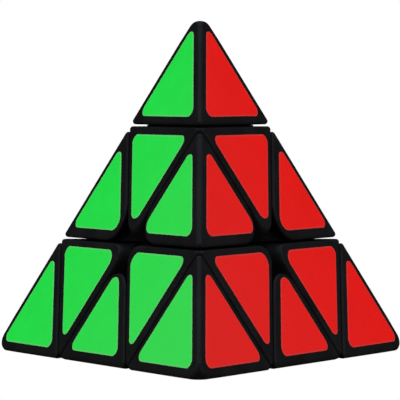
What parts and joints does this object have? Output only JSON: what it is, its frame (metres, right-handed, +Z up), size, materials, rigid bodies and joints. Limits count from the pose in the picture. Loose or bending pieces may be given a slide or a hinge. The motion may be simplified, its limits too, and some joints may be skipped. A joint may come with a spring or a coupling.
{
  "type": "pyramid twisty puzzle",
  "caption": "Tetrahedral twisty puzzle: a core carries spring-loaded turning corners with spinning tips and captive edge pieces, stickered in one colour per face.",
  "frame": {"origin": "centre of the core, where all four turning axes meet", "axes": "+Z up through the top corner, -Y towards the front corner, +X to the right; the puzzle stands on the face below"},
  "size_m": [0.098, 0.0856, 0.0805],
  "materials": {
    "black_plastic": "satin black injection-moulded ABS",
    "core_plastic": "dark grey moulded nylon",
    "steel": "zinc-plated steel",
    "green_vinyl": "bright green satin vinyl sticker",
    "red_vinyl": "bright red satin vinyl sticker",
    "blue_vinyl": "bright blue satin vinyl sticker",
    "yellow_vinyl": "bright yellow satin vinyl sticker"
  },
  "bodies": {
    "core": {"core": "core_plastic", "screws": "steel", "washers": "steel", "springs": "steel"},
    "axial_top": {"axial_shell_top": "black_plastic", "axial_hub_top": "black_plastic", "sticker_axial_top_blue": "blue_vinyl", "sticker_axial_top_red": "red_vinyl", "sticker_axial_top_green": "green_vinyl"},
    "tip_top": {"tip_top": "black_plastic", "sticker_tip_top_blue": "blue_vinyl", "sticker_tip_top_red": "red_vinyl", "sticker_tip_top_green": "green_vinyl"},
    "axial_front": {"axial_shell_front": "black_plastic", "axial_hub_front": "black_plastic", "sticker_axial_front_yellow": "yellow_vinyl", "sticker_axial_front_red": "red_vinyl", "sticker_axial_front_green": "green_vinyl"},
    "tip_front": {"tip_front": "black_plastic", "sticker_tip_front_yellow": "yellow_vinyl", "sticker_tip_front_red": "red_vinyl", "sticker_tip_front_green": "green_vinyl"},
    "axial_left": {"axial_shell_left": "black_plastic", "axial_hub_left": "black_plastic", "sticker_axial_left_yellow": "yellow_vinyl", "sticker_axial_left_blue": "blue_vinyl", "sticker_axial_left_green": "green_vinyl"},
    "tip_left": {"tip_left": "black_plastic", "sticker_tip_left_yellow": "yellow_vinyl", "sticker_tip_left_blue": "blue_vinyl", "sticker_tip_left_green": "green_vinyl"},
    "axial_right": {"axial_shell_right": "black_plastic", "axial_hub_right": "black_plastic", "sticker_axial_right_yellow": "yellow_vinyl", "sticker_axial_right_blue": "blue_vinyl", "sticker_axial_right_red": "red_vinyl"},
    "tip_right": {"tip_right": "black_plastic", "sticker_tip_right_yellow": "yellow_vinyl", "sticker_tip_right_blue": "blue_vinyl", "sticker_tip_right_red": "red_vinyl"},
    "edge_top_front": {"edge_top_front": "black_plastic", "sticker_edge_top_front_red": "red_vinyl", "sticker_edge_top_front_green": "green_vinyl"},
    "edge_top_left": {"edge_top_left": "black_plastic", "sticker_edge_top_left_blue": "blue_vinyl", "sticker_edge_top_left_green": "green_vinyl"},
    "edge_top_right": {"edge_top_right": "black_plastic", "sticker_edge_top_right_blue": "blue_vinyl", "sticker_edge_top_right_red": "red_vinyl"},
    "edge_front_left": {"edge_front_left": "black_plastic", "sticker_edge_front_left_yellow": "yellow_vinyl", "sticker_edge_front_left_green": "green_vinyl"},
    "edge_front_right": {"edge_front_right": "black_plastic", "sticker_edge_front_right_yellow": "yellow_vinyl", "sticker_edge_front_right_red": "red_vinyl"},
    "edge_left_right": {"edge_left_right": "black_plastic", "sticker_edge_left_right_yellow": "yellow_vinyl", "sticker_edge_left_right_blue": "blue_vinyl"}
  },
  "joints": [
    {"name": "turn_top", "type": "hinge", "parent": "core", "child": "axial_top", "pos_m": [0, 0, 0], "axis": [0, 0, 1], "continuous": true},
    {"name": "turn_front", "type": "hinge", "parent": "core", "child": "axial_front", "pos_m": [0, 0, 0], "axis": [0, -0.9428, -0.3333], "range_deg": [-360, 360]},
    {"name": "turn_left", "type": "hinge", "parent": "core", "child": "axial_left", "pos_m": [0, 0, 0], "axis": [-0.8165, 0.4714, -0.3333], "range_deg": [-360, 360]},
    {"name": "turn_right", "type": "hinge", "parent": "core", "child": "axial_right", "pos_m": [0, 0, 0], "axis": [0.8165, 0.4714, -0.3333], "range_deg": [-360, 360]},
    {"name": "spin_tip_top", "type": "hinge", "parent": "axial_top", "child": "tip_top", "pos_m": [0, 0, 0], "axis": [0, 0, 1], "continuous": true},
    {"name": "spin_tip_front", "type": "hinge", "parent": "axial_front", "child": "tip_front", "pos_m": [0, 0, 0], "axis": [0, -0.9428, -0.3333], "continuous": true},
    {"name": "spin_tip_left", "type": "hinge", "parent": "axial_left", "child": "tip_left", "pos_m": [0, 0, 0], "axis": [-0.8165, 0.4714, -0.3333], "continuous": true},
    {"name": "spin_tip_right", "type": "hinge", "parent": "axial_right", "child": "tip_right", "pos_m": [0, 0, 0], "axis": [0.8165, 0.4714, -0.3333], "continuous": true},
    {"name": "carry_edge_top_left", "type": "hinge", "parent": "axial_top", "child": "edge_top_left", "pos_m": [0, 0, 0], "axis": [-0.8165, 0.4714, -0.3333], "range_deg": [-360, 360]},
    {"name": "carry_edge_top_right", "type": "hinge", "parent": "axial_top", "child": "edge_top_right", "pos_m": [0, 0, 0], "axis": [0.8165, 0.4714, -0.3333], "range_deg": [-360, 360]},
    {"name": "carry_edge_top_front", "type": "hinge", "parent": "axial_top", "child": "edge_top_front", "pos_m": [0, 0, 0], "axis": [0, -0.9428, -0.3333], "range_deg": [-360, 360]},
    {"name": "carry_edge_left_right", "type": "hinge", "parent": "axial_left", "child": "edge_left_right", "pos_m": [0, 0, 0], "axis": [0.8165, 0.4714, -0.3333], "range_deg": [-360, 360]},
    {"name": "carry_edge_front_right", "type": "hinge", "parent": "axial_right", "child": "edge_front_right", "pos_m": [0, 0, 0], "axis": [0, -0.9428, -0.3333], "range_deg": [-360, 360]},
    {"name": "carry_edge_front_left", "type": "hinge", "parent": "axial_front", "child": "edge_front_left", "pos_m": [0, 0, 0], "axis": [-0.8165, 0.4714, -0.3333], "range_deg": [-360, 360]}
  ],
  "couplings": [
    {"joint": "carry_edge_top_left", "follows": "turn_left", "ratio": 1},
    {"joint": "carry_edge_top_right", "follows": "turn_right", "ratio": 1},
    {"joint": "carry_edge_top_front", "follows": "turn_front", "ratio": 1},
    {"joint": "carry_edge_left_right", "follows": "turn_right", "ratio": 1},
    {"joint": "carry_edge_front_right", "follows": "turn_front", "ratio": 1},
    {"joint": "carry_edge_front_left", "follows": "turn_left", "ratio": 1}
  ]
}
